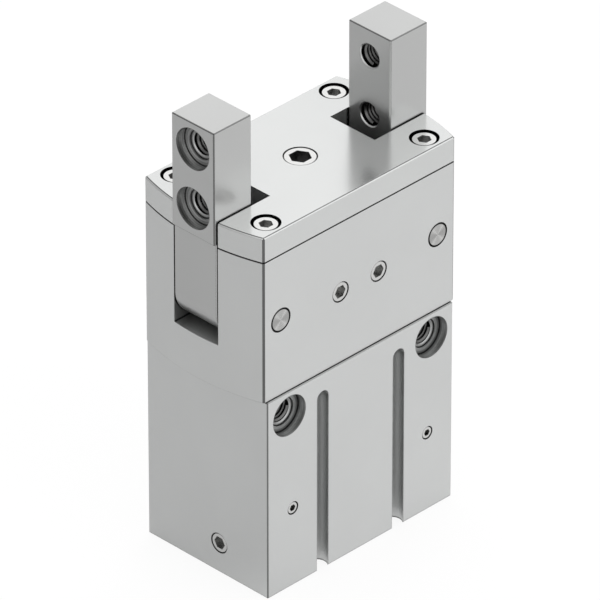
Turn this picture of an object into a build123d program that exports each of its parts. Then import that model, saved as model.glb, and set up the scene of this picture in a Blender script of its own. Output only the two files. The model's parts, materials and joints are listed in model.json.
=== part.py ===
from build123d import *
import os
from math import hypot, pi

# Pneumatic radial gripper. A double-acting cylinder lifts a crosshead, whose two slotted wings
# turn the jaws from upright and parallel to lying flat outwards, 90 degrees each.
# Millimetres. Origin in the middle of the body's bottom face, +Z up towards the fingers,
# X across the two jaws, the face with the sensor slots towards -Y. Modelled with the jaws upright.

# Body block
body_length = 51.8
body_depth = 33.5
body_height = 46.0
edge_break = 0.2
radius_tolerance = 0.001

# Jaw housing and its cover, which share one outline with bowed ends
housing_length = 52.9
housing_depth = 32.7
end_bulge = 2.65
housing_height = 32.3
corner_break = 0.3
cover_thickness = 5.7
cover_edge = 0.35
parting_edge = 0.15

# Jaws
pivot_inset = 4.65
pivot_rise = 17.35
pivot_pin_radius = 2.5
heel_radius = 7.1
grip_face_offset = 2.6
finger_step = 0.5
finger_step_rise = 15.65
finger_top_rise = 41.05
finger_width = 11.6
finger_edge = 0.2
jaw_side_gap = 0.25
heel_gap = 0.25
finger_hole_low = 21.7
finger_hole_pitch = 13.45
finger_recess_depth = 2.3
jaw_bush_wall = 1.0

# Drive between crosshead and jaws
drive_offset = 7.5
drive_pin_radius = 2.0
drive_pin_setback = 0.2
arm_radius = 4.0
fork_gap = 4.8
fork_root_radius = 4.9
fork_corner_shift = 0.6
inner_corner_radius = 2.5
wing_thickness = 4.4
wing_slot_relief = 0.35
wing_rim = 3.2
wing_tip_gap = 5.2
wing_tip_radius = 0.8
hub_length = 13.4
hub_depth = 11.6
crosshead_rest_gap = 0.3

# Pocket and cover openings
pocket_end_offset = 0.9
pocket_corner_radius = 1.0
cover_notch_room = 4.7
cover_notch_gap = 0.3

# Cylinder, piston and rod
bore_radius = 12.5
cap_seat_radius = 13.5
ring_groove_radius = 14.2
ring_groove_start = 1.5
ring_thickness = 1.2
ring_play = 0.1
ring_band = 2.2
ring_lug_radius = 1.9
ring_lug_hole = 0.75
ring_gap_width = 4.0
cap_thickness = 4.7
roof_thickness = 9.5
piston_length = 12.0
piston_gap = 0.1
piston_neck_length = 1.5
piston_neck_radius = 11.0
rod_radius = 4.0
spigot_radius = 3.0
spigot_wall = 1.5
spigot_height = 4.0
spigot_end_room = 0.25
rod_wall_gap = 0.4
running_gap = 0.02
buffer_inner_radius = 7.0
buffer_outer_radius = 9.5
lower_buffer_height = 2.2
upper_buffer_height = 1.5
buffer_stop_gap = 0.1
lower_buffer_proud = 1.0
upper_buffer_proud = 0.7
seal_groove_width = 2.0
seal_groove_depth = 2.0
seal_land = 0.7
magnet_groove_depth = 2.9
bush_length = 5.0
rod_bush_wall = 1.0
rod_seal_wall = 2.2
rod_seal_height = 3.0
rod_seal_pocket_depth = 3.5
cap_seal_section = 0.85
cap_seal_groove_gap = 0.1
cap_recess_radius = 6.0
cap_recess_depth = 1.2

# Tapped connections shared by the body and the fingers: M5 with a centring recess
mount_thread_radius = 2.5
mount_recess_radius = 4.5
mount_recess_depth = 2.1
mount_thread_chamfer = 0.25
mount_step_radius = 3.2
mount_step_depth = 0.4
mount_inset = 6.05
mount_drop = 5.55
base_mount_inset = 6.25
base_thread_depth = 10.0

# Sensor slots, open at the bottom
slot_x = 10.6
slot_width = 3.2
slot_stop = 4.1
slot_groove_depth = 1.55
slot_groove_radius = 2.1

# Air connections
port_thread_depth = 6.0
port_lower_rise = 0.8
port_upper_drop = 3.2
passage_radius = 1.0
passage_overrun = 1.5
gallery_radius = 0.8
passage_upper_drop = 1.3
gallery_y = -3.2
gallery_inset = 7.0
cross_plug_z = 18.3
end_plug_z = 6.9

# Plugs with hexagon sockets: radius, length and socket size
centre_plug_radius = 3.45
centre_plug_length = 5.0
centre_plug_socket = 4.0
port_plug_radius = 2.25
port_plug_length = 5.0
port_plug_socket = 2.5
channel_plug_radius = 1.45
channel_plug_length = 4.0
channel_plug_socket = 1.3
plug_edge = 0.25
plug_setback = 0.1
grease_plug_x = 5.3
grease_plug_rise = 16.3
grease_channel_radius = 1.5

# Screws and dowels
cover_screw_inset_x = 4.55
cover_screw_inset_y = 3.95
small_screw_radius = 1.5
small_head_radius = 2.75
small_head_height = 3.0
small_head_edge = 0.35
small_socket = 2.5
small_counterbore_radius = 3.0
small_counterbore_depth = 3.3
cover_screw_length = 12.0
housing_screw_xs = (8.4, 14.6)
housing_screw_length = 10.0
housing_screw_head_radius = 3.0
housing_screw_socket = 2.0
rod_screw_radius = 2.0
rod_screw_head_radius = 3.5
rod_screw_head_height = 4.0
rod_screw_socket = 3.0
rod_screw_length = 12.0
screw_clearance = 0.2
thread_end_room = 1.0
dowel_radius = 1.5
dowel_length = 8.0
dowel_inset_x = 10.4
dowel_inset_y = 5.75

# Heights and places worked out from the values above
pivot_x = housing_length / 2 - pivot_inset
mount_x = body_length / 2 - mount_inset
base_mount_y = body_depth / 2 - base_mount_inset
gallery_x = body_length / 2 - gallery_inset
slot_top = body_height - slot_stop
cover_screw_x = housing_length / 2 - cover_screw_inset_x
cover_screw_y = housing_depth / 2 - cover_screw_inset_y
dowel_x = body_length / 2 - dowel_inset_x
dowel_y = body_depth / 2 - dowel_inset_y
housing_top = body_height + housing_height
cover_top = housing_top + cover_thickness
pivot_z = body_height + pivot_rise
channel_floor = pivot_z - heel_radius - heel_gap
channel_width = finger_width + 2 * jaw_side_gap
end_apex = housing_length / 2 + end_bulge
finger_inner_x = pivot_x - grip_face_offset
finger_outer_x = pivot_x + heel_radius + finger_step
cover_notch_start = finger_inner_x - cover_notch_room
finger_top = pivot_z + finger_top_rise
drive_radius = hypot(drive_offset, drive_offset)
stroke = 2 * drive_offset
drive_pin_x = pivot_x - drive_offset
drive_pin_z = pivot_z - drive_offset
wing_slot_half = drive_pin_radius + wing_slot_relief
crosshead_bottom = drive_pin_z - wing_slot_half - wing_rim
crosshead_top = drive_pin_z + wing_slot_half + wing_rim
wing_tip_x = pivot_x - wing_tip_gap
pocket_floor = crosshead_bottom - crosshead_rest_gap
pocket_floor_thickness = pocket_floor - body_height
mount_z = body_height - mount_drop
chamber_roof = body_height - roof_thickness
cap_bottom = ring_groove_start + ring_thickness + ring_play
cap_top = cap_bottom + cap_thickness
piston_bottom = cap_top + lower_buffer_proud + buffer_stop_gap
piston_top = piston_bottom + piston_length
port_lower_z = piston_bottom + port_lower_rise
passage_upper_z = chamber_roof - passage_upper_drop
port_upper_z = passage_upper_z - port_upper_drop
rod_screw_seat = crosshead_top - rod_screw_head_height - screw_clearance
piston_screw_seat = piston_bottom + rod_screw_head_height + screw_clearance
rod_bottom = piston_screw_seat + spigot_wall
rod_top = crosshead_bottom + spigot_height
cover_screw_seat = cover_top - small_counterbore_depth

# Reference planes, each facing out of the face that it lies on
body_front = Plane.XZ.offset(body_depth / 2)
body_back = Plane(origin=(0, body_depth / 2, 0), x_dir=(-1, 0, 0), z_dir=(0, 1, 0))
body_base = Plane(origin=(0, 0, 0), x_dir=(1, 0, 0), z_dir=(0, 0, -1))
body_top_plane = Plane.XY.offset(body_height)
port_face = Plane(origin=(body_length / 2, 0, 0), x_dir=(0, 1, 0), z_dir=(1, 0, 0))
plug_face = Plane(origin=(-body_length / 2, 0, 0), x_dir=(0, -1, 0), z_dir=(-1, 0, 0))
housing_front = Plane.XZ.offset(housing_depth / 2)
housing_top_plane = Plane.XY.offset(housing_top)
cover_top_plane = Plane.XY.offset(cover_top)
finger_face = Plane(origin=(finger_outer_x, 0, 0), x_dir=(0, 1, 0), z_dir=(1, 0, 0))

cover_screw_places = GridLocations(2 * cover_screw_x, 2 * cover_screw_y, 2, 2).local_locations
housing_screw_places = [(side * x, 0) for side in (-1, 1) for x in housing_screw_xs]
dowel_places = [(dowel_x, -dowel_y), (-dowel_x, dowel_y)]
grease_plug_places = [(side * grease_plug_x, body_height + grease_plug_rise) for side in (-1, 1)]
channel_plug_places = [(side * gallery_x, cross_plug_z) for side in (-1, 1)]

os.makedirs("parts", exist_ok=True)


def housing_outline():
    """Outline of the jaw housing and cover: flat long sides, ends bowed outwards."""
    x = housing_length / 2
    y = housing_depth / 2
    with BuildSketch() as outline:
        with BuildLine():
            Line((-x, -y), (x, -y))
            ThreePointArc((x, -y), (end_apex, 0), (x, y))
            Line((x, y), (-x, y))
            ThreePointArc((-x, y), (-end_apex, 0), (-x, -y))
        make_face()
    return outline.sketch


def stepped_recess(depth):
    """Centring recess with a shallow step at its floor, sunk at the current locations."""
    Hole(mount_recess_radius, depth)
    Hole(mount_step_radius, depth + mount_step_depth)


def rims_of(block, radius):
    """Circular edges of the given radius."""
    circles = block.edges().filter_by(GeomType.CIRCLE)
    return circles.filter_by(lambda edge: abs(edge.radius - radius) < radius_tolerance)


def cap_screw(shank_radius, length, head_radius, head_height, socket):
    """Cap head screw, its head's underside at the origin and its shank along -Z."""
    with BuildPart() as screw:
        Cylinder(head_radius, head_height, align=(Align.CENTER, Align.CENTER, Align.MIN))
        chamfer(screw.edges().group_by(Axis.Z)[-1], small_head_edge)
        Cylinder(shank_radius, length, align=(Align.CENTER, Align.CENTER, Align.MAX))
        chamfer(screw.edges().group_by(Axis.Z)[0], small_head_edge)
        with BuildSketch(Plane.XY.offset(head_height)):
            RegularPolygon(socket / 2, 6, major_radius=False)
        extrude(amount=-head_height / 2, mode=Mode.SUBTRACT)
    return screw.part


def countersunk_screw(shank_radius, length, head_radius, socket):
    """Flat countersunk screw, its top face at the origin and its shank along -Z."""
    head_height = head_radius - shank_radius
    with BuildPart() as screw:
        Cylinder(shank_radius, length, align=(Align.CENTER, Align.CENTER, Align.MAX))
        chamfer(screw.edges().group_by(Axis.Z)[0], small_head_edge)
        Cone(shank_radius, head_radius, head_height, align=(Align.CENTER, Align.CENTER, Align.MAX))
        with BuildSketch():
            RegularPolygon(socket / 2, 6, major_radius=False)
        extrude(amount=-head_height, mode=Mode.SUBTRACT)
    return screw.part


def socket_plug(radius, length, socket):
    """Headless plug, its outer face at the origin and its body along -Z."""
    with BuildPart() as plug:
        Cylinder(radius, length, align=(Align.CENTER, Align.CENTER, Align.MAX))
        chamfer(plug.edges(), plug_edge)
        with BuildSketch():
            RegularPolygon(socket / 2, 6, major_radius=False)
        extrude(amount=-length / 2, mode=Mode.SUBTRACT)
    return plug.part


def pin_along_y(radius, length):
    """Straight pin along Y with broken ends, centred on the origin."""
    with BuildPart() as pin:
        with BuildSketch(Plane.XZ):
            Circle(radius)
        extrude(amount=length / 2, both=True)
        chamfer(pin.edges().filter_by(GeomType.CIRCLE), edge_break)
    return pin.part


def ring(inner_radius, outer_radius, bottom, height):
    """Plain ring about Z that stands on the given height."""
    with BuildPart() as plain_ring:
        with BuildSketch(Plane.XY.offset(bottom)):
            Circle(outer_radius)
            Circle(inner_radius, mode=Mode.SUBTRACT)
        extrude(amount=height)
    return plain_ring.part


# Cylinder body: the block with the bore, its mounting holes, sensor slots and air passages
with BuildPart() as cylinder_body:
    with BuildSketch():
        Rectangle(body_length, body_depth)
    extrude(amount=body_height)
    chamfer(cylinder_body.edges(), edge_break)
    with BuildSketch(Plane.XZ):
        with BuildLine():
            ring_groove_end = ring_groove_start + ring_thickness + ring_play
            seal_pocket_top = chamber_roof + rod_seal_pocket_depth
            bush_bottom = body_height - bush_length
            Polyline(
                (0, 0),
                (cap_seat_radius, 0),
                (cap_seat_radius, ring_groove_start),
                (ring_groove_radius, ring_groove_start),
                (ring_groove_radius, ring_groove_end),
                (cap_seat_radius, ring_groove_end),
                (cap_seat_radius, cap_top),
                (bore_radius, cap_top),
                (bore_radius, chamber_roof),
                (rod_radius + rod_seal_wall, chamber_roof),
                (rod_radius + rod_seal_wall, seal_pocket_top),
                (rod_radius + rod_wall_gap, seal_pocket_top),
                (rod_radius + rod_wall_gap, bush_bottom),
                (rod_radius + running_gap + rod_bush_wall, bush_bottom),
                (rod_radius + running_gap + rod_bush_wall, body_height),
                (0, body_height),
                close=True,
            )
        make_face()
    revolve(axis=Axis.Z, mode=Mode.SUBTRACT)
    for face in (body_front, body_back):
        with Locations(face.location):
            with Locations((-mount_x, mount_z), (mount_x, mount_z)):
                stepped_recess(mount_recess_depth)
                Hole(mount_thread_radius)
    with Locations(body_base.location):
        with GridLocations(2 * mount_x, 2 * base_mount_y, 2, 2):
            stepped_recess(mount_recess_depth)
            Hole(mount_thread_radius, base_thread_depth)
    mouths = rims_of(cylinder_body, mount_thread_radius)
    blind_ends = mouths.filter_by_position(Axis.Z, base_thread_depth, base_thread_depth)
    chamfer(mouths - blind_ends, mount_thread_chamfer)
    slot_round = slot_top - slot_width / 2
    with BuildSketch(body_front):
        with Locations((-slot_x, 0), (slot_x, 0)):
            Rectangle(slot_width, slot_round, align=(Align.CENTER, Align.MIN))
    extrude(amount=-slot_groove_depth, mode=Mode.SUBTRACT)
    with BuildSketch(body_front):
        with Locations((-slot_x, slot_round), (slot_x, slot_round)):
            Circle(slot_width / 2)
    extrude(amount=-slot_groove_depth - slot_groove_radius, mode=Mode.SUBTRACT)
    slot_groove_y = -body_depth / 2 + slot_groove_depth
    with BuildSketch():
        with Locations((-slot_x, slot_groove_y), (slot_x, slot_groove_y)):
            Circle(slot_groove_radius)
    extrude(amount=slot_round, mode=Mode.SUBTRACT)
    with Locations(body_top_plane.location):
        with Locations(*housing_screw_places):
            Hole(
                small_screw_radius,
                housing_screw_length - pocket_floor_thickness + thread_end_room,
            )
        with Locations(*dowel_places):
            Hole(dowel_radius, dowel_length / 2)
    with Locations(port_face.location):
        with Locations((gallery_y, port_lower_z), (gallery_y, port_upper_z)):
            Hole(mount_thread_radius, port_thread_depth)
        with Locations((gallery_y, port_lower_z)):
            Hole(passage_radius, body_length / 2)
        with Locations((gallery_y, port_upper_z)):
            Hole(passage_radius, body_length / 2 - gallery_x + passage_overrun)
    with Locations(plug_face.location):
        with Locations((-gallery_y, end_plug_z)):
            CounterBoreHole(
                passage_radius, port_plug_radius, port_plug_length + plug_setback,
                body_length / 2 - gallery_x + passage_overrun,
            )
    with Locations(body_front.location):
        with Locations(*channel_plug_places):
            CounterBoreHole(
                passage_radius, channel_plug_radius, channel_plug_length + plug_setback,
                body_depth / 2 + gallery_y + passage_overrun,
            )
    gallery_low = (-gallery_x, end_plug_z, cross_plug_z)
    gallery_high = (gallery_x, cross_plug_z, passage_upper_z)
    for x, bottom, top in (gallery_low, gallery_high):
        with BuildSketch(Plane.XY.offset(bottom)):
            with Locations((x, gallery_y)):
                Circle(gallery_radius)
        extrude(amount=top - bottom, mode=Mode.SUBTRACT)
    for side, height in ((-1, port_lower_z), (1, passage_upper_z)):
        behind_gallery = side * (gallery_x + passage_overrun)
        into_bore = Plane(origin=(behind_gallery, gallery_y, height), z_dir=(-side, 0, 0))
        with BuildSketch(into_bore):
            Circle(passage_radius)
        extrude(amount=gallery_x + passage_overrun - bore_radius / 2, mode=Mode.SUBTRACT)
cylinder_body.part.label = "cylinder_body"
export_step(cylinder_body.part, "parts/cylinder_body.step")

# Jaw housing: bowed block with a channel for both jaws and a deeper pocket for the crosshead
with BuildPart() as jaw_housing:
    with BuildSketch(body_top_plane):
        add(housing_outline())
    extrude(amount=housing_height)
    chamfer(jaw_housing.edges().filter_by(Axis.Z), corner_break)
    chamfer(jaw_housing.edges().group_by(Axis.Z)[0], parting_edge)
    chamfer(jaw_housing.edges().group_by(Axis.Z)[-1], parting_edge)
    with BuildSketch(Plane.XY.offset(channel_floor)):
        Rectangle(2 * end_apex, channel_width)
    extrude(amount=housing_top - channel_floor, mode=Mode.SUBTRACT)
    with BuildSketch(Plane.XY.offset(pocket_floor)):
        RectangleRounded(2 * (pivot_x - pocket_end_offset), channel_width, pocket_corner_radius)
    extrude(amount=housing_top - pocket_floor, mode=Mode.SUBTRACT)
    with BuildSketch(body_top_plane):
        Circle(rod_radius + rod_wall_gap)
    extrude(amount=pocket_floor_thickness, mode=Mode.SUBTRACT)
    with Locations(Plane.XY.offset(pocket_floor).location):
        with Locations(*housing_screw_places):
            CounterSinkHole(
                small_screw_radius, housing_screw_head_radius, pocket_floor_thickness, 90
            )
    with Locations(housing_front.location):
        with Locations((-pivot_x, pivot_z), (pivot_x, pivot_z)):
            Hole(pivot_pin_radius)
        pin_mouths = rims_of(jaw_housing, pivot_pin_radius).group_by(Axis.Y)
        chamfer(pin_mouths[0] + pin_mouths[-1], parting_edge)
        with Locations(*grease_plug_places):
            CounterBoreHole(
                grease_channel_radius, port_plug_radius, port_plug_length + plug_setback,
                housing_depth / 2,
            )
    with Locations(housing_top_plane.location):
        with Locations(*cover_screw_places):
            Hole(
                small_screw_radius,
                cover_screw_length - cover_thickness + small_counterbore_depth + thread_end_room,
            )
    with BuildSketch(body_top_plane):
        with Locations(*dowel_places):
            Circle(dowel_radius)
    extrude(amount=dowel_length / 2, mode=Mode.SUBTRACT)
jaw_housing.part.label = "jaw_housing"
export_step(jaw_housing.part, "parts/jaw_housing.step")

# Top cover: plate with a notch for each finger
with BuildPart() as top_cover:
    with BuildSketch(housing_top_plane):
        add(housing_outline())
    extrude(amount=cover_thickness)
    chamfer(top_cover.edges().filter_by(Axis.Z), corner_break)
    chamfer(top_cover.edges().group_by(Axis.Z)[0], parting_edge)
    chamfer(top_cover.edges().group_by(Axis.Z)[-1], cover_edge)
    notch_width = finger_width + 2 * cover_notch_gap
    with BuildSketch(housing_top_plane):
        with Locations((cover_notch_start, 0)):
            Rectangle(end_apex, notch_width, align=(Align.MIN, Align.CENTER))
        with Locations((-cover_notch_start, 0)):
            Rectangle(end_apex, notch_width, align=(Align.MAX, Align.CENTER))
    extrude(amount=cover_thickness, mode=Mode.SUBTRACT)
    with Locations(cover_top_plane.location):
        with Locations(*cover_screw_places):
            CounterBoreHole(
                small_screw_radius + screw_clearance, small_counterbore_radius,
                small_counterbore_depth, cover_thickness,
            )
        CounterBoreHole(
            rod_screw_socket, centre_plug_radius, centre_plug_length + plug_setback,
            cover_thickness,
        )
top_cover.part.label = "top_cover"
export_step(top_cover.part, "parts/top_cover.step")

# Right jaw: finger, heel about the pivot, and a forked arm that holds the drive pin
with BuildPart() as right_jaw:
    with BuildSketch(Plane.XZ) as side_view:
        with Locations((pivot_x, pivot_z)):
            Circle(heel_radius)
        with Locations((finger_inner_x, pivot_z)):
            Rectangle(
                grip_face_offset + heel_radius, finger_top_rise,
                align=(Align.MIN, Align.MIN),
            )
        with Locations((finger_inner_x, pivot_z + finger_step_rise)):
            Rectangle(
                finger_outer_x - finger_inner_x, finger_top_rise - finger_step_rise,
                align=(Align.MIN, Align.MIN),
            )
        with Locations(((pivot_x + drive_pin_x) / 2, (pivot_z + drive_pin_z) / 2)):
            SlotCenterToCenter(drive_radius, 2 * arm_radius, rotation=45)
        inner_corner = side_view.vertices().sort_by_distance(
            (finger_inner_x, pivot_z + grip_face_offset)
        )[0]
        fillet(inner_corner, inner_corner_radius)
    extrude(amount=finger_width / 2, both=True)
    finger_rims = right_jaw.edges().filter_by(Axis.Z)
    top_rims = right_jaw.edges().group_by(Axis.Z)[-1]
    chamfer(finger_rims + top_rims, finger_edge)
    with BuildSketch(Plane.XZ):
        with Locations((pivot_x + fork_corner_shift, pivot_z + fork_corner_shift)):
            Rectangle(
                2 * drive_radius, 2 * drive_radius, align=(Align.MAX, Align.MAX)
            )
        with Locations((pivot_x, pivot_z)):
            Circle(fork_root_radius, mode=Mode.SUBTRACT)
    extrude(amount=fork_gap / 2, both=True, mode=Mode.SUBTRACT)
    with Locations(housing_front.location):
        with Locations((pivot_x, pivot_z)):
            Hole(pivot_pin_radius + running_gap + jaw_bush_wall)
        with Locations((drive_pin_x, drive_pin_z)):
            Hole(drive_pin_radius)
    with Locations(finger_face.location):
        hole_heights = (pivot_z + finger_hole_low, pivot_z + finger_hole_low + finger_hole_pitch)
        with Locations(*[(0, height) for height in hole_heights]):
            stepped_recess(finger_recess_depth)
            Hole(mount_thread_radius, finger_outer_x - finger_inner_x)
    chamfer(rims_of(right_jaw, mount_thread_radius), mount_thread_chamfer)
right_jaw.part.label = "right_jaw"
export_step(right_jaw.part, "parts/right_jaw.step")

with BuildPart() as left_jaw:
    mirror(right_jaw.part, about=Plane.YZ)
left_jaw.part.label = "left_jaw"
export_step(left_jaw.part, "parts/left_jaw.step")

# Bronze bushes pressed into the jaws, one for each side
for side, name in ((-1, "left_jaw_bush"), (1, "right_jaw_bush")):
    with BuildPart() as jaw_bush:
        with BuildSketch(Plane.XZ):
            with Locations((side * pivot_x, pivot_z)):
                Circle(pivot_pin_radius + running_gap + jaw_bush_wall)
                Circle(pivot_pin_radius + running_gap, mode=Mode.SUBTRACT)
        extrude(amount=finger_width / 2, both=True)
    jaw_bush.part.label = name
    export_step(jaw_bush.part, f"parts/{name}.step")

# Pivot pins, flush with the housing's front and back
pivot_pin = pin_along_y(pivot_pin_radius, housing_depth)
for side, name in ((-1, "left_pivot_pin"), (1, "right_pivot_pin")):
    with BuildPart() as placed_pin:
        with Locations((side * pivot_x, 0, pivot_z)):
            add(pivot_pin)
    placed_pin.part.label = name
    export_step(placed_pin.part, f"parts/{name}.step")

# Drive pins across the forked arms
drive_pin = pin_along_y(drive_pin_radius, finger_width - 2 * drive_pin_setback)
for side, name in ((-1, "left_drive_pin"), (1, "right_drive_pin")):
    with BuildPart() as placed_pin:
        with Locations((side * drive_pin_x, 0, drive_pin_z)):
            add(drive_pin)
    placed_pin.part.label = name
    export_step(placed_pin.part, f"parts/{name}.step")

# Crosshead: guided hub with two slotted wings, open at their tips
with BuildPart() as crosshead:
    wing_height = crosshead_top - crosshead_bottom
    with BuildSketch(Plane.XZ):
        with Locations((0, drive_pin_z)):
            RectangleRounded(2 * wing_tip_x, wing_height, wing_tip_radius)
    extrude(amount=wing_thickness / 2, both=True)
    slot_end_x = pivot_x - drive_radius
    with BuildSketch(Plane.XZ):
        with Locations((slot_end_x, drive_pin_z), (-slot_end_x, drive_pin_z)):
            Circle(wing_slot_half)
        with Locations((slot_end_x, drive_pin_z)):
            Rectangle(pivot_x, 2 * wing_slot_half, align=(Align.MIN, Align.CENTER))
        with Locations((-slot_end_x, drive_pin_z)):
            Rectangle(pivot_x, 2 * wing_slot_half, align=(Align.MAX, Align.CENTER))
    extrude(amount=wing_thickness / 2, both=True, mode=Mode.SUBTRACT)
    with BuildSketch(Plane.XY.offset(crosshead_bottom)):
        Rectangle(hub_length, hub_depth)
    extrude(amount=wing_height)
    with BuildSketch(Plane.XZ):
        with BuildLine():
            Polyline(
                (0, crosshead_bottom),
                (spigot_radius, crosshead_bottom),
                (spigot_radius, rod_top + spigot_end_room),
                (rod_screw_radius + screw_clearance, rod_top + spigot_end_room),
                (rod_screw_radius + screw_clearance, rod_screw_seat),
                (rod_screw_head_radius + screw_clearance, rod_screw_seat),
                (rod_screw_head_radius + screw_clearance, crosshead_top),
                (0, crosshead_top),
                close=True,
            )
        make_face()
    revolve(axis=Axis.Z, mode=Mode.SUBTRACT)
crosshead.part.label = "crosshead"
export_step(crosshead.part, "parts/crosshead.step")

# Piston rod with a spigot and a tapped hole at each end
rod_thread_depth = rod_screw_length - (rod_screw_seat - rod_top) + thread_end_room
piston_thread_depth = rod_screw_length - spigot_wall + thread_end_room
with BuildPart() as piston_rod:
    with BuildSketch(Plane.XZ):
        with BuildLine():
            Polyline(
                (0, rod_bottom + piston_thread_depth),
                (rod_screw_radius, rod_bottom + piston_thread_depth),
                (rod_screw_radius, rod_bottom),
                (spigot_radius, rod_bottom),
                (spigot_radius, piston_top),
                (rod_radius, piston_top),
                (rod_radius, crosshead_bottom),
                (spigot_radius, crosshead_bottom),
                (spigot_radius, rod_top),
                (rod_screw_radius, rod_top),
                (rod_screw_radius, rod_top - rod_thread_depth),
                (0, rod_top - rod_thread_depth),
                close=True,
            )
        make_face()
    revolve(axis=Axis.Z)
piston_rod.part.label = "piston_rod"
export_step(piston_rod.part, "parts/piston_rod.step")

# Piston with two seal grooves, a magnet groove between them and a necked end at each side
piston_radius = bore_radius - piston_gap
magnet_bottom = piston_bottom + (piston_length - seal_groove_width) / 2
seal_offset = seal_groove_width + seal_land
seal_bottoms = (magnet_bottom - seal_offset, magnet_bottom + seal_offset)
with BuildPart() as piston:
    with BuildSketch(Plane.XZ):
        with BuildLine():
            Polyline(
                (rod_screw_head_radius + screw_clearance, piston_bottom),
                (piston_neck_radius, piston_bottom),
                (piston_neck_radius, piston_bottom + piston_neck_length),
                (piston_radius, piston_bottom + piston_neck_length),
                (piston_radius, piston_top - piston_neck_length),
                (piston_neck_radius, piston_top - piston_neck_length),
                (piston_neck_radius, piston_top),
                (spigot_radius, piston_top),
                (spigot_radius, rod_bottom),
                (rod_screw_radius + screw_clearance, rod_bottom),
                (rod_screw_radius + screw_clearance, piston_screw_seat),
                (rod_screw_head_radius + screw_clearance, piston_screw_seat),
                close=True,
            )
        make_face()
    revolve(axis=Axis.Z)
    grooves = [(bottom, seal_groove_depth) for bottom in seal_bottoms]
    grooves.append((magnet_bottom, magnet_groove_depth))
    for bottom, depth in grooves:
        with BuildSketch(Plane.XY.offset(bottom)):
            Circle(bore_radius)
            Circle(piston_radius - depth, mode=Mode.SUBTRACT)
        extrude(amount=seal_groove_width, mode=Mode.SUBTRACT)
    with BuildSketch(Plane.XY.offset(piston_top)):
        Circle(buffer_outer_radius)
        Circle(buffer_inner_radius, mode=Mode.SUBTRACT)
    extrude(amount=upper_buffer_proud - upper_buffer_height, mode=Mode.SUBTRACT)
piston.part.label = "piston"
export_step(piston.part, "parts/piston.step")

with BuildPart() as piston_seals:
    for bottom in seal_bottoms:
        add(ring(
            piston_radius - seal_groove_depth, bore_radius - running_gap, bottom,
            seal_groove_width,
        ))
piston_seals.part.label = "piston_seals"
export_step(piston_seals.part, "parts/piston_seals.step")

with BuildPart() as magnet_ring:
    add(ring(
        piston_radius - magnet_groove_depth, piston_radius - piston_gap, magnet_bottom,
        seal_groove_width,
    ))
magnet_ring.part.label = "magnet_ring"
export_step(magnet_ring.part, "parts/magnet_ring.step")

with BuildPart() as upper_buffer:
    add(ring(
        buffer_inner_radius, buffer_outer_radius,
        piston_top + upper_buffer_proud - upper_buffer_height, upper_buffer_height,
    ))
upper_buffer.part.label = "upper_buffer"
export_step(upper_buffer.part, "parts/upper_buffer.step")

with BuildPart() as lower_buffer:
    add(ring(
        buffer_inner_radius, buffer_outer_radius,
        cap_top + lower_buffer_proud - lower_buffer_height, lower_buffer_height,
    ))
lower_buffer.part.label = "lower_buffer"
export_step(lower_buffer.part, "parts/lower_buffer.step")

# Screws that hold the crosshead and the piston on the rod
rod_screw = cap_screw(
    rod_screw_radius, rod_screw_length, rod_screw_head_radius, rod_screw_head_height,
    rod_screw_socket,
)
with BuildPart() as crosshead_screw:
    with Locations((0, 0, rod_screw_seat)):
        add(rod_screw)
crosshead_screw.part.label = "crosshead_screw"
export_step(crosshead_screw.part, "parts/crosshead_screw.step")

with BuildPart() as piston_screw:
    with Locations(Location((0, 0, piston_screw_seat), (180, 0, 0))):
        add(rod_screw)
piston_screw.part.label = "piston_screw"
export_step(piston_screw.part, "parts/piston_screw.step")

# Rod bush and rod seal in the body's roof
with BuildPart() as rod_bush:
    add(ring(
        rod_radius + running_gap, rod_radius + running_gap + rod_bush_wall,
        body_height - bush_length, bush_length,
    ))
rod_bush.part.label = "rod_bush"
export_step(rod_bush.part, "parts/rod_bush.step")

with BuildPart() as rod_seal:
    add(ring(
        rod_radius + running_gap, rod_radius + rod_seal_wall,
        chamber_roof + rod_seal_pocket_depth - rod_seal_height, rod_seal_height,
    ))
rod_seal.part.label = "rod_seal"
export_step(rod_seal.part, "parts/rod_seal.step")

# End cap with its seal, held by a retaining ring
cap_seal_z = (cap_bottom + cap_top) / 2
cap_groove_half = cap_seal_section + cap_seal_groove_gap
cap_groove_radius = cap_seat_radius - 2 * cap_seal_section
with BuildPart() as end_cap:
    with BuildSketch(Plane.XY.offset(cap_bottom)):
        Circle(cap_seat_radius)
    extrude(amount=cap_thickness)
    with BuildSketch(Plane.XY.offset(cap_seal_z)):
        Circle(cap_seat_radius)
        Circle(cap_groove_radius, mode=Mode.SUBTRACT)
    extrude(amount=cap_groove_half, both=True, mode=Mode.SUBTRACT)
    with BuildSketch(Plane.XY.offset(cap_top)):
        Circle(buffer_outer_radius)
        Circle(buffer_inner_radius, mode=Mode.SUBTRACT)
    extrude(amount=lower_buffer_proud - lower_buffer_height, mode=Mode.SUBTRACT)
    with BuildSketch(Plane.XY.offset(cap_bottom)):
        Circle(cap_recess_radius)
    extrude(amount=cap_recess_depth, mode=Mode.SUBTRACT)
end_cap.part.label = "end_cap"
export_step(end_cap.part, "parts/end_cap.step")

with BuildPart() as end_cap_seal:
    add(ring(
        cap_groove_radius, cap_seat_radius, cap_seal_z - cap_seal_section, 2 * cap_seal_section,
    ))
end_cap_seal.part.label = "end_cap_seal"
export_step(end_cap_seal.part, "parts/end_cap_seal.step")

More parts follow.
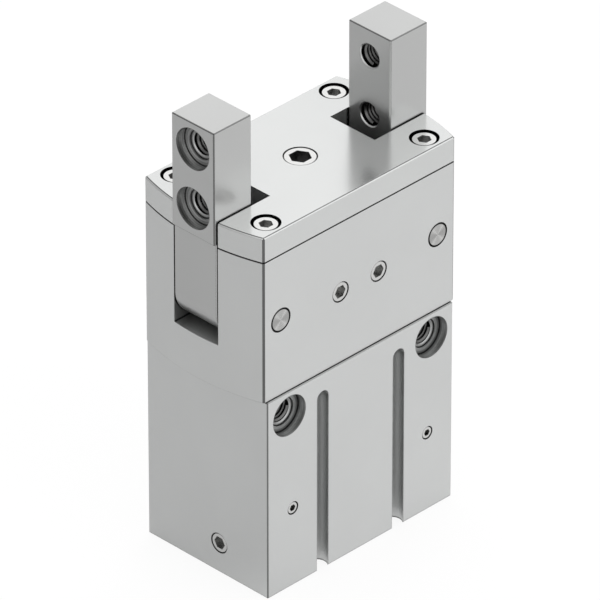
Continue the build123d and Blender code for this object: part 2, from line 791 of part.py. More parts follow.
with BuildPart() as retaining_ring:
    with BuildSketch(Plane.XY.offset(ring_groove_start)):
        Circle(ring_groove_radius)
        Circle(ring_groove_radius - ring_band, mode=Mode.SUBTRACT)
        Rectangle(
            ring_gap_width, 2 * ring_groove_radius, align=(Align.CENTER, Align.MIN),
            mode=Mode.SUBTRACT,
        )
        lug_x = ring_gap_width / 2 + ring_lug_radius
        lug_y = ring_groove_radius - ring_band - ring_lug_radius / 2
        with Locations((-lug_x, lug_y), (lug_x, lug_y)):
            Circle(ring_lug_radius)
            Circle(ring_lug_hole, mode=Mode.SUBTRACT)
    extrude(amount=ring_thickness)
retaining_ring.part.label = "retaining_ring"
export_step(retaining_ring.part, "parts/retaining_ring.step")

# Screws of the cover and of the housing, and the dowels that line the housing up
with BuildPart() as cover_screws:
    with Locations(Plane.XY.offset(cover_screw_seat).location):
        with Locations(*cover_screw_places):
            add(cap_screw(
                small_screw_radius, cover_screw_length, small_head_radius, small_head_height,
                small_socket,
            ))
cover_screws.part.label = "cover_screws"
export_step(cover_screws.part, "parts/cover_screws.step")

with BuildPart() as housing_screws:
    with Locations(Plane.XY.offset(pocket_floor).location):
        with Locations(*housing_screw_places):
            add(countersunk_screw(
                small_screw_radius, housing_screw_length, housing_screw_head_radius,
                housing_screw_socket,
            ))
housing_screws.part.label = "housing_screws"
export_step(housing_screws.part, "parts/housing_screws.step")

with BuildPart() as housing_dowels:
    with BuildSketch(Plane.XY.offset(body_height - dowel_length / 2)):
        with Locations(*dowel_places):
            Circle(dowel_radius)
    extrude(amount=dowel_length)
housing_dowels.part.label = "housing_dowels"
export_step(housing_dowels.part, "parts/housing_dowels.step")

# Plugs: one in the cover, two in the housing's front, two small ones and one end plug in the body
with BuildPart() as centre_plug:
    with Locations((0, 0, cover_top - plug_setback)):
        add(socket_plug(centre_plug_radius, centre_plug_length, centre_plug_socket))
centre_plug.part.label = "centre_plug"
export_step(centre_plug.part, "parts/centre_plug.step")

with BuildPart() as grease_port_plugs:
    with Locations(housing_front.offset(-plug_setback).location):
        with Locations(*grease_plug_places):
            add(socket_plug(port_plug_radius, port_plug_length, port_plug_socket))
grease_port_plugs.part.label = "grease_port_plugs"
export_step(grease_port_plugs.part, "parts/grease_port_plugs.step")

with BuildPart() as channel_plugs:
    with Locations(body_front.offset(-plug_setback).location):
        with Locations(*channel_plug_places):
            add(socket_plug(channel_plug_radius, channel_plug_length, channel_plug_socket))
channel_plugs.part.label = "channel_plugs"
export_step(channel_plugs.part, "parts/channel_plugs.step")

with BuildPart() as end_port_plug:
    with Locations(plug_face.offset(-plug_setback).location):
        with Locations((-gallery_y, end_plug_z)):
            add(socket_plug(port_plug_radius, port_plug_length, port_plug_socket))
end_port_plug.part.label = "end_port_plug"
export_step(end_port_plug.part, "parts/end_port_plug.step")

jaw_swing = pi / 2
print("jaw swing in radians per millimetre of piston travel:", jaw_swing / stroke)
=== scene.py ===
"""Looks of the pneumatic radial gripper: anodised block, housing and cover, ground steel jaws."""

import json
import math

import bmesh
import bpy
from mathutils import Matrix, Vector


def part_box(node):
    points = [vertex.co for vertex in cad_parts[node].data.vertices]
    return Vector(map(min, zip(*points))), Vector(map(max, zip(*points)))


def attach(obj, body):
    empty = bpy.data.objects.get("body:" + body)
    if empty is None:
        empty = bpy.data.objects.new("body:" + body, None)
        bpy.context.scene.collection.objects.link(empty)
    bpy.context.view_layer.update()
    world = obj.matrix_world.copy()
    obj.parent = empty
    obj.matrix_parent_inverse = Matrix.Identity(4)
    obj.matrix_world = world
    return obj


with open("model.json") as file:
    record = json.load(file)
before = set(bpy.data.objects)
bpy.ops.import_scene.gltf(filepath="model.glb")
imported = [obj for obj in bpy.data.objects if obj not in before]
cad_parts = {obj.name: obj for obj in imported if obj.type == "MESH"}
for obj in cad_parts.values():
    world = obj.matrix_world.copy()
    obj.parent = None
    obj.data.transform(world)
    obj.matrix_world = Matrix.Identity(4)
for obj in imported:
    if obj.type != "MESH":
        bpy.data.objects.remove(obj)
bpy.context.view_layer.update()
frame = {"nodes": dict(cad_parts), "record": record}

MM = 0.001

# Thread form of the M5 holes, and where they are
THREAD_ROOT = 2.505 * MM
THREAD_CREST = 2.1 * MM
THREAD_PITCH = 0.8 * MM
THREAD_FLAT = 0.12 * MM
THREAD_GAP = 0.002 * MM
THREAD_STEPS = 40
ALONG_Y = (1, 0, 1)
ALONG_Z = (1, 1, 0)
BASE_THREAD_START = 2.75 * MM
BASE_THREAD_END = 10 * MM

# Broken corners of the body, the housing with its cover and the fingers, which carry painted shade
BODY_CORNER = (25.7 * MM, 16.55 * MM)
HOUSING_CORNER = (26.15 * MM, 16.05 * MM)
FINGER_CORNER = (29.2 * MM, 5.6 * MM)
CORNER_MARGIN = 0.02 * MM

# Heights between which a seam or the upper part of a broken edge gets painted shade
COVER_SEAM = (78.17 * MM, 78.52 * MM)
COVER_EDGE = (83.87 * MM, 83.99 * MM)
BODY_EDGE = (45.82 * MM, 45.99 * MM)
FINGER_EDGE = (104.2 * MM, 104.38 * MM)

# How far from its middle a recess keeps its turned rings and their painted shade, and radii where
# pins, screws and threads have their rims of painted shade
RECESS_REACH = 2.0 * MM
PIN_RIM = 2.67 * MM
PIN_FACE = 2.22 * MM
SCREW_HEAD = 2.75 * MM
SCREW_FACE = 2.33 * MM
SCREW_RIM = 3.02 * MM
THREAD_WALL = 2.52 * MM
THROUGH = 100 * MM
RIM_FADE = 0.06 * MM
HEAD_FADE = 0.08 * MM

# Shares of the colour that painted shade leaves in dark rims, clearances and seams
RIM_SHARE = 0.04
CLEARANCE_SHARE = 0.03
SEAM_SHARE = 0.04

# Range in which noise mostly lies, and the part of it that shows as a tool's rings, whose shares
# also darken the recesses as painted shade
NOISE_RANGE = (0.3, 0.7)
RING_RANGE = (0.36, 0.56)
RING_SHARES = (0.54, 0.86)
RECESS_RING_PITCH = 0.4 * MM
PIN_RING_PITCH = 0.25 * MM

# Cosines between a face and its rounded normal, on a sharp edge and beside it
EDGE_COSINES = (0.9, 0.99)

# Openness at which a place counts as free of painted shade, and at which a wide hollow counts as
# closed
OPEN_SHARE = 0.9
HOLLOW_CLOSED = 0.3

# Natural anodised aluminium and the polished steel of screws and plugs
ANODISED = (0.785, 0.795, 0.79)
ANODISED_COVER = (0.8, 0.81, 0.805)
SCREW_STEEL = (0.9, 0.9, 0.89)
PLUG_STEEL = (0.86, 0.86, 0.85)
JAW_STEEL = (0.655, 0.66, 0.655)
PIN_STEEL = (0.82, 0.82, 0.81)
# Depth of the painted sheen on the pivot pins' ends
PIN_WEDGE = 0.36
CLOUD_SCALE = 45
BUMP_STRENGTH = 0.3

MOUNTS = {mount["name"]: mount for mount in frame["record"]["mounts"]}


def new_tree(name):
    """Empty material with its output, a Principled shader and object coordinates."""
    material = bpy.data.materials.new(name)
    material.use_nodes = True
    tree = material.node_tree
    tree.nodes.clear()
    output = tree.nodes.new("ShaderNodeOutputMaterial")
    shader = tree.nodes.new("ShaderNodeBsdfPrincipled")
    tree.links.new(shader.outputs["BSDF"], output.inputs["Surface"])
    place = tree.nodes.new("ShaderNodeTexCoord")
    return material, tree, shader, place.outputs["Object"]


def noise(tree, place, scale, stretch=(1, 1, 1), detail=3.0):
    """Noise on object coordinates, stretched along some axes."""
    mapping = tree.nodes.new("ShaderNodeMapping")
    mapping.inputs["Scale"].default_value = stretch
    tree.links.new(place, mapping.inputs["Vector"])
    texture = tree.nodes.new("ShaderNodeTexNoise")
    texture.inputs["Scale"].default_value = scale
    texture.inputs["Detail"].default_value = detail
    tree.links.new(mapping.outputs["Vector"], texture.inputs["Vector"])
    return texture.outputs["Fac"]


def spread(tree, value, low, high):
    """Noise value stretched to run between two numbers."""
    node = tree.nodes.new("ShaderNodeMapRange")
    node.inputs["From Min"].default_value, node.inputs["From Max"].default_value = NOISE_RANGE
    node.inputs["To Min"].default_value = low
    node.inputs["To Max"].default_value = high
    tree.links.new(value, node.inputs["Value"])
    return node.outputs["Result"]


def tint(tree, value, dark, light):
    """Colour between two tones."""
    node = tree.nodes.new("ShaderNodeMix")
    node.data_type = "RGBA"
    node.inputs["A"].default_value = (*dark, 1)
    node.inputs["B"].default_value = (*light, 1)
    tree.links.new(value, node.inputs["Factor"])
    return node.outputs["Result"]


def remap(tree, value, low, high, at_low, at_high):
    """Value between low and high moved to run between two others, and held past the ends."""
    node = tree.nodes.new("ShaderNodeMapRange")
    node.interpolation_type = "SMOOTHSTEP"
    node.inputs["From Min"].default_value = low
    node.inputs["From Max"].default_value = high
    node.inputs["To Min"].default_value = at_low
    node.inputs["To Max"].default_value = at_high
    tree.links.new(value, node.inputs["Value"])
    return node.outputs["Result"]


def darken(tree, colour, share):
    """Colour times a share between nought and one."""
    node = tree.nodes.new("ShaderNodeMix")
    node.data_type = "RGBA"
    node.blend_type = "MULTIPLY"
    node.inputs["Factor"].default_value = 1
    tree.links.new(colour, node.inputs["A"])
    tree.links.new(share, node.inputs["B"])
    return node.outputs["Result"]


def painted_edge_shade(tree, radius, depth):
    """Rounded normal, and a share of painted shade that drops along sharp edges, standing in for
    the dark reflection of a broken edge.
    """
    bevel = tree.nodes.new("ShaderNodeBevel")
    bevel.samples = 6
    bevel.inputs["Radius"].default_value = radius
    geometry = tree.nodes.new("ShaderNodeNewGeometry")
    dot = tree.nodes.new("ShaderNodeVectorMath")
    dot.operation = "DOT_PRODUCT"
    tree.links.new(bevel.outputs["Normal"], dot.inputs[0])
    tree.links.new(geometry.outputs["Normal"], dot.inputs[1])
    share = remap(tree, dot.outputs["Value"], *EDGE_COSINES, 1 - depth, 1)
    return bevel.outputs["Normal"], share


def painted_occlusion_shade(tree, reach, closed, shade, whole_object):
    """Share of painted shade that drops in gaps, grooves and sockets narrower than reach, where
    ambient occlusion finds them.
    """
    node = tree.nodes.new("ShaderNodeAmbientOcclusion")
    node.samples = 8
    node.only_local = not whole_object
    node.inputs["Distance"].default_value = reach
    return remap(tree, node.outputs["AO"], closed, OPEN_SHARE, shade, 1)


def around(tree, place, centre, across):
    """Distance from an axis, and depth along it: across is nought along the axis and one across."""
    move = tree.nodes.new("ShaderNodeVectorMath")
    move.operation = "SUBTRACT"
    move.inputs[1].default_value = centre
    tree.links.new(place, move.inputs[0])
    flat = tree.nodes.new("ShaderNodeVectorMath")
    flat.operation = "MULTIPLY"
    flat.inputs[1].default_value = across
    tree.links.new(move.outputs["Vector"], flat.inputs[0])
    length = tree.nodes.new("ShaderNodeVectorMath")
    length.operation = "LENGTH"
    tree.links.new(flat.outputs["Vector"], length.inputs[0])
    along = tree.nodes.new("ShaderNodeVectorMath")
    along.operation = "DOT_PRODUCT"
    along.inputs[1].default_value = [1 - share for share in across]
    tree.links.new(move.outputs["Vector"], along.inputs[0])
    return length.outputs["Value"], along.outputs["Value"]


def arithmetic(tree, operation, first, second):
    """Sum, product or comparison of two values, either of which may be a plain number."""
    node = tree.nodes.new("ShaderNodeMath")
    node.operation = operation
    for socket, value in zip(node.inputs, (first, second)):
        if isinstance(value, (int, float)):
            socket.default_value = value
        else:
            tree.links.new(value, socket)
    return node.outputs["Value"]


def only_where(tree, inside, share):
    """Share that holds inside a mask and is one outside it."""
    mix = tree.nodes.new("ShaderNodeMix")
    mix.data_type = "FLOAT"
    mix.inputs["A"].default_value = 1
    tree.links.new(inside, mix.inputs["Factor"])
    if isinstance(share, (int, float)):
        mix.inputs["B"].default_value = share
    else:
        tree.links.new(share, mix.inputs["B"])
    return mix.outputs["Result"]


def tool_rings_and_shade(tree, place, colour, sinks):
    """Turned rings in the centring recesses, whose shares also darken the whole recess as painted
    shade: centre, across vector and radius of each sink.
    """
    for centre, across, radius in sinks:
        distance, depth = around(tree, place, centre, across)
        deep = arithmetic(tree, "ABSOLUTE", depth, 0)
        inside = arithmetic(
            tree, "MULTIPLY",
            arithmetic(tree, "LESS_THAN", distance, radius),
            arithmetic(tree, "LESS_THAN", deep, RECESS_REACH),
        )
        rings = tree.nodes.new("ShaderNodeTexNoise")
        rings.noise_dimensions = "1D"
        rings.inputs["Scale"].default_value = 1 / RECESS_RING_PITCH
        rings.inputs["Detail"].default_value = 3
        tree.links.new(arithmetic(tree, "ADD", distance, deep), rings.inputs["W"])
        share = remap(tree, rings.outputs["Fac"], *RING_RANGE, *RING_SHARES)
        colour = darken(tree, colour, only_where(tree, inside, share))
    return colour


def painted_rim_shade(tree, place, colour, rims):
    """Painted shade in clearances and on thread walls: centre, across vector, radius and reach of
    each.
    """
    for centre, across, radius, reach in rims:
        distance, depth = around(tree, place, centre, across)
        inside = arithmetic(
            tree, "MULTIPLY",
            arithmetic(tree, "LESS_THAN", distance, radius),
            arithmetic(tree, "LESS_THAN", arithmetic(tree, "ABSOLUTE", depth, 0), reach),
        )
        colour = darken(tree, colour, only_where(tree, inside, CLEARANCE_SHARE))
    return colour


def painted_corner_shade(tree, place, colour, corner, share):
    """Broken vertical corners, darkened in the colour as painted shade that stands in for their
    dark reflection.
    """
    parts = tree.nodes.new("ShaderNodeSeparateXYZ")
    tree.links.new(place, parts.inputs["Vector"])
    past = [
        arithmetic(
            tree, "GREATER_THAN",
            arithmetic(tree, "ABSOLUTE", parts.outputs[letter], 0), limit - CORNER_MARGIN,
        )
        for letter, limit in zip("XY", corner)
    ]
    return darken(tree, colour, only_where(tree, arithmetic(tree, "MULTIPLY", *past), share))


def painted_level_shade(tree, place, colour, heights, share):
    """Painted shade between two heights, such as a seam or the upper part of a broken edge."""
    parts = tree.nodes.new("ShaderNodeSeparateXYZ")
    tree.links.new(place, parts.inputs["Vector"])
    low, high = heights
    inside = arithmetic(
        tree, "MULTIPLY",
        arithmetic(tree, "GREATER_THAN", parts.outputs["Z"], low),
        arithmetic(tree, "LESS_THAN", parts.outputs["Z"], high),
    )
    return darken(tree, colour, only_where(tree, inside, share))


def painted_head_edge_shade(tree, place, colour, centre):
    """Painted shade on the broken edges of screw heads that lie at the same distances either side
    of X and Y.
    """
    fold = tree.nodes.new("ShaderNodeVectorMath")
    fold.operation = "ABSOLUTE"
    tree.links.new(place, fold.inputs[0])
    distance, _ = around(tree, fold.outputs["Vector"], centre, ALONG_Z)
    edge = remap(tree, distance, SCREW_FACE, SCREW_FACE + HEAD_FADE, 1, RIM_SHARE)
    return darken(tree, colour, edge)


def metal(name, colour, roughness, metallic=1.0, grain=9000, stretch=(1, 1, 1), grain_depth=0.01,
          shade=0.02, edge_radius=0.14 * MM, edge_depth=0.7, rough_span=0.04, reach=0.6 * MM,
          closed=0.55, gap_shade=0.08, sinks=(), rims=(), corner=None, corner_share=0.2,
          lines=(), hollow_reach=0, hollow_shade=0.3, hollow_alone=False, head_place=None):
    """Machined metal: fine grain, faint clouding, and painted shade along edges and in narrow gaps,
    with more painted shade in hollows, recesses, rims, corners and seams where asked.
    """
    material, tree, shader, place = new_tree(name)
    clouds = noise(tree, place, CLOUD_SCALE, detail=4)
    dark = [c * (1 - shade) for c in colour]
    light = [min(1, c * (1 + shade)) for c in colour]
    base = tint(tree, spread(tree, clouds, 0, 1), dark, light)
    # Painted shade: sharp edges are darkened in the colour, standing in for their dark reflection.
    rounded, edge = painted_edge_shade(tree, edge_radius, edge_depth)
    base = darken(tree, base, edge)
    # Painted shade: narrow gaps and, where asked, wide hollows such as slots and channels are
    # darkened in the colour.
    base = darken(tree, base, painted_occlusion_shade(tree, reach, closed, gap_shade, True))
    if hollow_reach:
        hollow = painted_occlusion_shade(tree, hollow_reach, HOLLOW_CLOSED, hollow_shade, not hollow_alone)
        base = darken(tree, base, hollow)
    # Turned rings of the recesses, with painted shade over the whole recess.
    base = tool_rings_and_shade(tree, place, base, sinks)
    # Painted shade in the clearances round pins and screws and on thread walls.
    base = painted_rim_shade(tree, place, base, rims)
    # Painted shade on the broken vertical corners.
    if corner:
        base = painted_corner_shade(tree, place, base, corner, corner_share)
    # Painted shade in seams and on the upper part of broken edges.
    for heights, share in lines:
        base = painted_level_shade(tree, place, base, heights, share)
    # Painted shade on the screw heads' broken edges.
    if head_place:
        base = painted_head_edge_shade(tree, place, base, head_place)
    tree.links.new(base, shader.inputs["Base Color"])
    fine = noise(tree, place, grain, stretch)
    tree.links.new(spread(tree, fine, roughness - rough_span, roughness + rough_span),
                   shader.inputs["Roughness"])
    bump = tree.nodes.new("ShaderNodeBump")
    bump.inputs["Strength"].default_value = BUMP_STRENGTH
    bump.inputs["Distance"].default_value = grain_depth * MM
    tree.links.new(fine, bump.inputs["Height"])
    tree.links.new(rounded, bump.inputs["Normal"])
    tree.links.new(bump.outputs["Normal"], shader.inputs["Normal"])
    shader.inputs["Metallic"].default_value = metallic
    return material


def turned_metal(name, colour, roughness, centre, axis, wedge):
    """Faced end of a pin: rings about its axis and an anisotropic shader, with the light and dark
    wedges of its sheen also painted into the colour, inside a rim of painted shade.
    """
    material, tree, shader, place = new_tree(name)
    across = [0 if letter == axis else 1 for letter in "XYZ"]
    along = [1 - share for share in across]
    distance, _ = around(tree, place, centre, across)
    rings = tree.nodes.new("ShaderNodeTexNoise")
    rings.noise_dimensions = "1D"
    rings.inputs["Scale"].default_value = 1 / PIN_RING_PITCH
    tree.links.new(distance, rings.inputs["W"])
    dark = [c * 0.92 for c in colour]
    base = tint(tree, spread(tree, rings.outputs["Fac"], 0, 1), dark, colour)
    tree.links.new(spread(tree, rings.outputs["Fac"], roughness - 0.04, roughness + 0.04),
                   shader.inputs["Roughness"])
    move = tree.nodes.new("ShaderNodeVectorMath")
    move.operation = "SUBTRACT"
    move.inputs[1].default_value = centre
    tree.links.new(place, move.inputs[0])
    groove = tree.nodes.new("ShaderNodeVectorMath")
    groove.operation = "CROSS_PRODUCT"
    groove.inputs[1].default_value = along
    tree.links.new(move.outputs["Vector"], groove.inputs[0])
    level = tree.nodes.new("ShaderNodeVectorMath")
    level.operation = "NORMALIZE"
    tree.links.new(groove.outputs["Vector"], level.inputs[0])
    tree.links.new(level.outputs["Vector"], shader.inputs["Tangent"])
    parts = tree.nodes.new("ShaderNodeSeparateXYZ")
    tree.links.new(level.outputs["Vector"], parts.inputs["Vector"])
    # Painted sheen: the colour is darkened outside two wedges of light.
    for letter, width, low in (("Z", 0.38, 1 - wedge), ("X", 0.26, 1 - wedge / 2)):
        lean = arithmetic(tree, "ABSOLUTE", parts.outputs[letter], 0)
        painted_sheen = remap(tree, lean, 1 - width, 1, 1, low)
        base = darken(tree, base, painted_sheen)
    # Painted shade in the clearance round the pin's face.
    painted_rim = remap(tree, distance, PIN_FACE, PIN_FACE + RIM_FADE, 1, RIM_SHARE)
    tree.links.new(darken(tree, base, painted_rim), shader.inputs["Base Color"])
    shader.inputs["Anisotropic"].default_value = 0.9
    shader.inputs["Metallic"].default_value = 1.0
    return material


def rubber(name, colour):
    """Moulded rubber: matt, faintly mottled, with a fine pebbled bump."""
    material, tree, shader, place = new_tree(name)
    mottle = noise(tree, place, 900)
    dark = [c * 0.8 for c in colour]
    light = [c * 1.2 for c in colour]
    tree.links.new(tint(tree, spread(tree, mottle, 0, 1), dark, light), shader.inputs["Base Color"])
    tree.links.new(spread(tree, mottle, 0.6, 0.75), shader.inputs["Roughness"])
    bump = tree.nodes.new("ShaderNodeBump")
    bump.inputs["Strength"].default_value = BUMP_STRENGTH
    bump.inputs["Distance"].default_value = 0.02 * MM
    tree.links.new(noise(tree, place, 6000), bump.inputs["Height"])
    tree.links.new(bump.outputs["Normal"], shader.inputs["Normal"])
    return material


def dress(material, *names):
    """Gives CAD nodes a finish."""
    for name in names:
        slots = frame["nodes"][name].data.materials
        slots.clear()
        slots.append(material)


def recess_sinks(*names):
    """Centre, across vector and radius of stated recesses, for the rings that a tool leaves and the
    painted shade with them.
    """
    sinks = []
    for name in names:
        mount = MOUNTS[name]
        across = [1 - abs(share) for share in mount["axis"]]
        sinks.append((mount["pos_m"], across, mount["dims"]["r_mm"] * MM * 1.001))
    return sinks


def thread_walls(*names):
    """Walls of stated threaded holes, which get painted shade between the crests of their threads.
    """
    walls = []
    for name in names:
        mount = MOUNTS[name]
        across = [1 - abs(share) for share in mount["axis"]]
        walls.append((mount["pos_m"], across, THREAD_WALL, mount["dims"]["length_mm"] / 2 * MM))
    return walls


def rims_at(places, across, radius):
    """Rims of one size that run right through a piece at several places."""
    return [(place, across, radius, THROUGH) for place in places]


def middle(name):
    """Middle of a CAD node's box."""
    low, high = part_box(name)
    return (low + high) / 2


PIN_PLACES = [middle("left_pivot_pin"), middle("right_pivot_pin")]
screws_low, screws_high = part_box("cover_screws")
SCREW_PLACES = [
    Vector((x, y, 0))
    for x in (screws_low.x + SCREW_HEAD, screws_high.x - SCREW_HEAD)
    for y in (screws_low.y + SCREW_HEAD, screws_high.y - SCREW_HEAD)
]
BODY_SINKS = recess_sinks(
    "front_recess_left", "front_recess_right", "back_recess_left", "back_recess_right",
)
BODY_THREADS = thread_walls("side_thread_left", "side_thread_right", "port_open", "port_close")
JAW_THREADS = {
    side: thread_walls(f"{side}_finger_thread_low", f"{side}_finger_thread_high")
    for side in ("left", "right")
}
JAW_SINKS = {
    side: recess_sinks(f"{side}_finger_recess_low", f"{side}_finger_recess_high")
    for side in ("left", "right")
}
BODY_FINISH = metal(
    "satin_anodised_body", ANODISED, roughness=0.32, metallic=0.9, sinks=BODY_SINKS,
    rims=BODY_THREADS, corner=BODY_CORNER, corner_share=0.3, lines=((BODY_EDGE, 0.5),),
    hollow_reach=4 * MM, hollow_shade=0.25, hollow_alone=True,
)
HOUSING_FINISH = metal(
    "satin_anodised_housing", ANODISED, roughness=0.32, metallic=0.9,
    rims=rims_at(PIN_PLACES, ALONG_Y, PIN_RIM), corner=HOUSING_CORNER,
    lines=((COVER_SEAM, SEAM_SHARE),), hollow_reach=9 * MM, hollow_shade=0.52,
)
COVER_FINISH = metal(
    "satin_anodised_cover", ANODISED_COVER, roughness=0.18, metallic=0.9,
    rims=rims_at(SCREW_PLACES, ALONG_Z, SCREW_RIM), corner=HOUSING_CORNER,
    lines=((COVER_SEAM, SEAM_SHARE), (COVER_EDGE, 0.25)),
)
SCREW_FINISH = metal(
    "screw_steel", SCREW_STEEL, roughness=0.2, grain=6000, grain_depth=0.004,
    reach=2 * MM, closed=0.5, gap_shade=0.45, head_place=SCREW_PLACES[-1],
)
PLUG_FINISH = metal(
    "plug_steel", PLUG_STEEL, roughness=0.22, grain=6000, grain_depth=0.004,
    reach=2 * MM, closed=0.5, gap_shade=0.65,
)
CENTRE_FINISH = metal(
    "centre_plug_steel", SCREW_STEEL, roughness=0.2, grain=6000, grain_depth=0.004,
    edge_radius=0.2 * MM, reach=4 * MM, closed=0.75, gap_shade=0.3,
)
CROSSHEAD_FINISH = metal(
    "ground_crosshead_steel", (0.42, 0.43, 0.45), roughness=0.3, grain=3000,
)
PISTON_FINISH = metal(
    "turned_piston_aluminium", (0.6, 0.61, 0.62), roughness=0.3, grain=3000, stretch=(1, 1, 8),
)
ROD_FINISH = metal(
    "polished_rod_chrome", (0.72, 0.72, 0.74), roughness=0.1, grain=4000, stretch=(1, 1, 6),
    grain_depth=0.002,
)
RING_FINISH = metal(
    "dark_spring_steel", (0.05, 0.048, 0.045), roughness=0.45, metallic=0.9, grain=5000,
)
BRONZE_FINISH = metal("sintered_bronze", (0.5, 0.32, 0.14), roughness=0.4, grain=7000)
MAGNET_FINISH = rubber("bonded_magnet", (0.05, 0.045, 0.045))
SEAL_FINISH = rubber("black_nitrile", (0.015, 0.015, 0.015))
BUFFER_FINISH = rubber("green_polyurethane", (0.03, 0.09, 0.05))
# Painted shade: the threads get a dark colour and near-black gaps that stand in for the shade deep
# inside the holes.
THREAD_SHADE_FINISH = metal(
    "cut_thread_painted_shade", (0.2, 0.2, 0.198), roughness=0.3, grain=5000, edge_depth=0, closed=0.6,
    gap_shade=0.02,
)

dress(BODY_FINISH, "cylinder_body")
dress(HOUSING_FINISH, "jaw_housing")
dress(COVER_FINISH, "top_cover")
for side, sinks in JAW_SINKS.items():
    ground_steel = metal(
        "ground_steel_" + side, JAW_STEEL, roughness=0.28, metallic=0.95, grain=2500,
        stretch=(1, 1, 0.06), grain_depth=0.0001, edge_radius=0.2 * MM, rough_span=0.006,
        sinks=sinks, rims=JAW_THREADS[side], corner=FINGER_CORNER, corner_share=0.35,
        lines=((FINGER_EDGE, 0.4),),
    )
    dress(ground_steel, side + "_jaw")
dress(SCREW_FINISH, "cover_screws")
dress(CENTRE_FINISH, "centre_plug")
dress(PLUG_FINISH, "grease_port_plugs", "channel_plugs", "end_port_plug", "housing_screws",
      "crosshead_screw", "piston_screw")
dress(CROSSHEAD_FINISH, "crosshead")
dress(PISTON_FINISH, "piston", "end_cap")
dress(ROD_FINISH, "piston_rod", "housing_dowels")
dress(RING_FINISH, "retaining_ring")
dress(BRONZE_FINISH, "rod_bush", "left_jaw_bush", "right_jaw_bush")
dress(MAGNET_FINISH, "magnet_ring")
dress(SEAL_FINISH, "piston_seals", "rod_seal", "end_cap_seal")
dress(BUFFER_FINISH, "upper_buffer", "lower_buffer")
for pin in ("left_pivot_pin", "right_pivot_pin"):
    dress(turned_metal("turned_" + pin, PIN_STEEL, 0.28, middle(pin), "Y", PIN_WEDGE), pin)
dress(ROD_FINISH, "left_drive_pin", "right_drive_pin")


def thread(name, start, direction, length, body):
    """Cut thread in a hole: a V profile spun as a helix that ends at the hole's far mouth."""
    mesh = bmesh.new()
    turns = max(1, math.floor(length / THREAD_PITCH) - 1)
    profile = (
        (THREAD_ROOT, 0),
        (THREAD_CREST, THREAD_PITCH / 2 - THREAD_FLAT / 2),
        (THREAD_CREST, THREAD_PITCH / 2 + THREAD_FLAT / 2),
        (THREAD_ROOT, THREAD_PITCH - THREAD_GAP),
    )
    corners = [mesh.verts.new((radius, 0, height)) for radius, height in profile]
    face = mesh.faces.new(corners)
    steps = THREAD_STEPS * turns
    bmesh.ops.spin(
        mesh, geom=[face, *corners, *face.edges], cent=(0, 0, 0), axis=(0, 0, 1),
        dvec=(0, 0, THREAD_PITCH / THREAD_STEPS), angle=math.tau * turns, steps=steps,
        use_merge=False, use_normal_flip=False, use_duplicate=False,
    )
    bmesh.ops.recalc_face_normals(mesh, faces=mesh.faces)
    turn = Vector((0, 0, 1)).rotation_difference(Vector(direction)).to_matrix().to_4x4()
    first = start + Vector(direction) * (length - (turns + 1) * THREAD_PITCH)
    bmesh.ops.transform(mesh, matrix=Matrix.Translation(first) @ turn, verts=mesh.verts)
    data = bpy.data.meshes.new(name)
    mesh.to_mesh(data)
    mesh.free()
    piece = bpy.data.objects.new(name, data)
    bpy.context.scene.collection.objects.link(piece)
    data.materials.append(THREAD_SHADE_FINISH)
    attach(piece, body)


def line_with_thread(mount_name, body):
    """Thread along a hole that the record states."""
    mount = MOUNTS[mount_name]
    outward = Vector(mount["axis"])
    length = mount["dims"]["length_mm"] * MM
    start = Vector(mount["pos_m"]) - outward * length / 2
    thread("thread_" + mount_name, start, outward, length, body)


for side in ("left", "right"):
    line_with_thread(f"side_thread_{side}", "housing")
    for level in ("low", "high"):
        line_with_thread(f"{side}_finger_thread_{level}", f"{side}_jaw")
for port in ("port_open", "port_close"):
    line_with_thread(port, "housing")


def base_threads():
    """Threads of the four mounting holes in the bottom."""
    mount = MOUNTS["base_bolts"]
    reach_x = mount["dims"]["spacing_x_mm"] * MM / 2
    reach_y = mount["dims"]["spacing_y_mm"] * MM / 2
    length = BASE_THREAD_END - BASE_THREAD_START
    for number, (x, y) in enumerate(((1, 1), (-1, 1), (-1, -1), (1, -1))):
        start = Vector((x * reach_x, y * reach_y, BASE_THREAD_END))
        thread(f"thread_base_{number}", start, (0, 0, -1), length, "housing")


base_threads()

# Camera of the photograph: azimuth, elevation, distance and lens from its edges
AZIMUTH = math.radians(-45.177)
ELEVATION = math.radians(32.685)
DISTANCE = 2041.6 * MM
TARGET = Vector((-0.24, -0.16, 50.82)) * MM
LENS = 622.9
SENSOR = 36
back = Vector((
    math.sin(AZIMUTH) * math.cos(ELEVATION),
    -math.cos(AZIMUTH) * math.cos(ELEVATION),
    math.sin(ELEVATION),
))
camera_data = bpy.data.cameras.new("camera")
camera_data.lens = LENS
camera_data.sensor_width = SENSOR
camera = bpy.data.objects.new("camera", camera_data)
camera.location = TARGET + back * DISTANCE
camera.rotation_euler = back.to_track_quat("Z", "Y").to_euler()
bpy.context.scene.collection.objects.link(camera)
bpy.context.scene.camera = camera


# How bright the floor is to metal, in front of the object and beside its plugged end, and the
# distances between which the one fades to the other
MIRRORED_FRONT = 0.64
MIRRORED_END = 0.45
FADE_START = -25 * MM
FADE_END = 5 * MM

# Floor: half its side, its paint, the share of it that is plain white, and its gap to the object
FLOOR_REACH = 6
FLOOR_PAINT = (0.8, 0.8, 0.8, 1)
FLOOR_WHITE = 0.9
FLOOR_GAP = 0.0005 * MM

# Studio: what the lamps aim at, how bright the sky and the wall behind the plugged end are, and
# where the one fades to the other
AIM = Vector((0, 0, 0.05))
SKY_LEVEL = 0.94
WALL_LEVEL = 0.4
WALL_FADE = (0.3, 0.8)


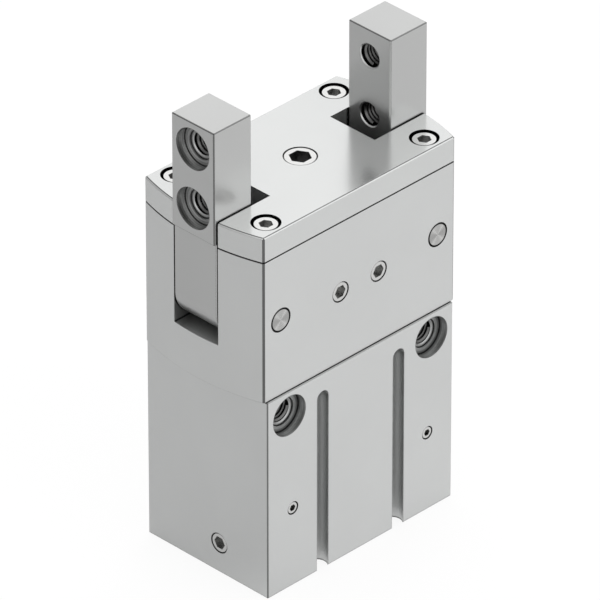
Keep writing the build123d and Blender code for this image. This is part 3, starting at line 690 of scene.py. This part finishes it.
def stage_material():
    """Pale floor: white to the camera, with the shadow left in it, and paler in front to metal."""
    material = bpy.data.materials.new("pale_floor")
    material.use_nodes = True
    tree = material.node_tree
    tree.nodes.clear()
    output = tree.nodes.new("ShaderNodeOutputMaterial")
    paint = tree.nodes.new("ShaderNodeBsdfDiffuse")
    paint.inputs["Color"].default_value = FLOOR_PAINT
    glow = tree.nodes.new("ShaderNodeEmission")
    blend = tree.nodes.new("ShaderNodeMixShader")
    path = tree.nodes.new("ShaderNodeLightPath")
    place = tree.nodes.new("ShaderNodeTexCoord")
    forward = tree.nodes.new("ShaderNodeVectorMath")
    forward.operation = "DOT_PRODUCT"
    forward.inputs[1].default_value = (math.sqrt(0.5), -math.sqrt(0.5), 0)
    tree.links.new(place.outputs["Object"], forward.inputs[0])
    pale = remap(tree, forward.outputs["Value"], FADE_START, FADE_END,
                 MIRRORED_END, MIRRORED_FRONT)
    tone = tree.nodes.new("ShaderNodeMix")
    tone.data_type = "FLOAT"
    tone.inputs["A"].default_value = 1
    tree.links.new(path.outputs["Is Glossy Ray"], tone.inputs["Factor"])
    tree.links.new(pale, tone.inputs["B"])
    tree.links.new(tone.outputs["Result"], glow.inputs["Color"])
    seen = arithmetic(tree, "MAXIMUM", path.outputs["Is Camera Ray"], path.outputs["Is Glossy Ray"])
    share = arithmetic(tree, "MULTIPLY", seen, FLOOR_WHITE)
    tree.links.new(share, blend.inputs["Fac"])
    tree.links.new(paint.outputs[0], blend.inputs[1])
    tree.links.new(glow.outputs[0], blend.inputs[2])
    tree.links.new(blend.outputs[0], output.inputs["Surface"])
    return material


def floor():
    """Flat floor under the object."""
    mesh = bmesh.new()
    bmesh.ops.create_grid(mesh, x_segments=1, y_segments=1, size=FLOOR_REACH)
    data = bpy.data.meshes.new("floor")
    mesh.to_mesh(data)
    mesh.free()
    piece = bpy.data.objects.new("floor", data)
    piece.location = (0, 0, -FLOOR_GAP)
    bpy.context.scene.collection.objects.link(piece)
    data.materials.append(stage_material())


floor()


def soft_lamp(name, place, size, power):
    """Square soft box aimed at the middle of the object, which metal doesn't mirror."""
    data = bpy.data.lights.new(name, "AREA")
    data.size = size
    data.energy = power
    lamp = bpy.data.objects.new(name, data)
    lamp.location = place
    lamp.rotation_euler = (Vector(place) - AIM).to_track_quat("Z", "Y").to_euler()
    lamp.visible_glossy = False
    bpy.context.scene.collection.objects.link(lamp)


soft_lamp("top_box", (0.2, 0.3, 1.3), 1.0, 9)
soft_lamp("front_box", (0.3, -1.4, 0.9), 0.8, 7)
soft_lamp("end_box", (-1.2, 0.3, 0.7), 0.8, 2)


def studio_world():
    """Pale studio, dimmer towards the wall behind the plugged end."""
    world = bpy.data.worlds.new("studio")
    world.use_nodes = True
    tree = world.node_tree
    tree.nodes.clear()
    output = tree.nodes.new("ShaderNodeOutputWorld")
    sky = tree.nodes.new("ShaderNodeBackground")
    sky.inputs["Color"].default_value = (1, 1, 1, 1)
    place = tree.nodes.new("ShaderNodeTexCoord")
    sideways = tree.nodes.new("ShaderNodeVectorMath")
    sideways.operation = "DOT_PRODUCT"
    sideways.inputs[1].default_value = (-math.sqrt(0.5), math.sqrt(0.5), 0)
    tree.links.new(place.outputs["Generated"], sideways.inputs[0])
    wall = remap(tree, sideways.outputs["Value"], *WALL_FADE, SKY_LEVEL, WALL_LEVEL)
    tree.links.new(wall, sky.inputs["Strength"])
    tree.links.new(sky.outputs[0], output.inputs["Surface"])
    bpy.context.scene.world = world


studio_world()
bpy.context.scene.view_settings.view_transform = "Standard"
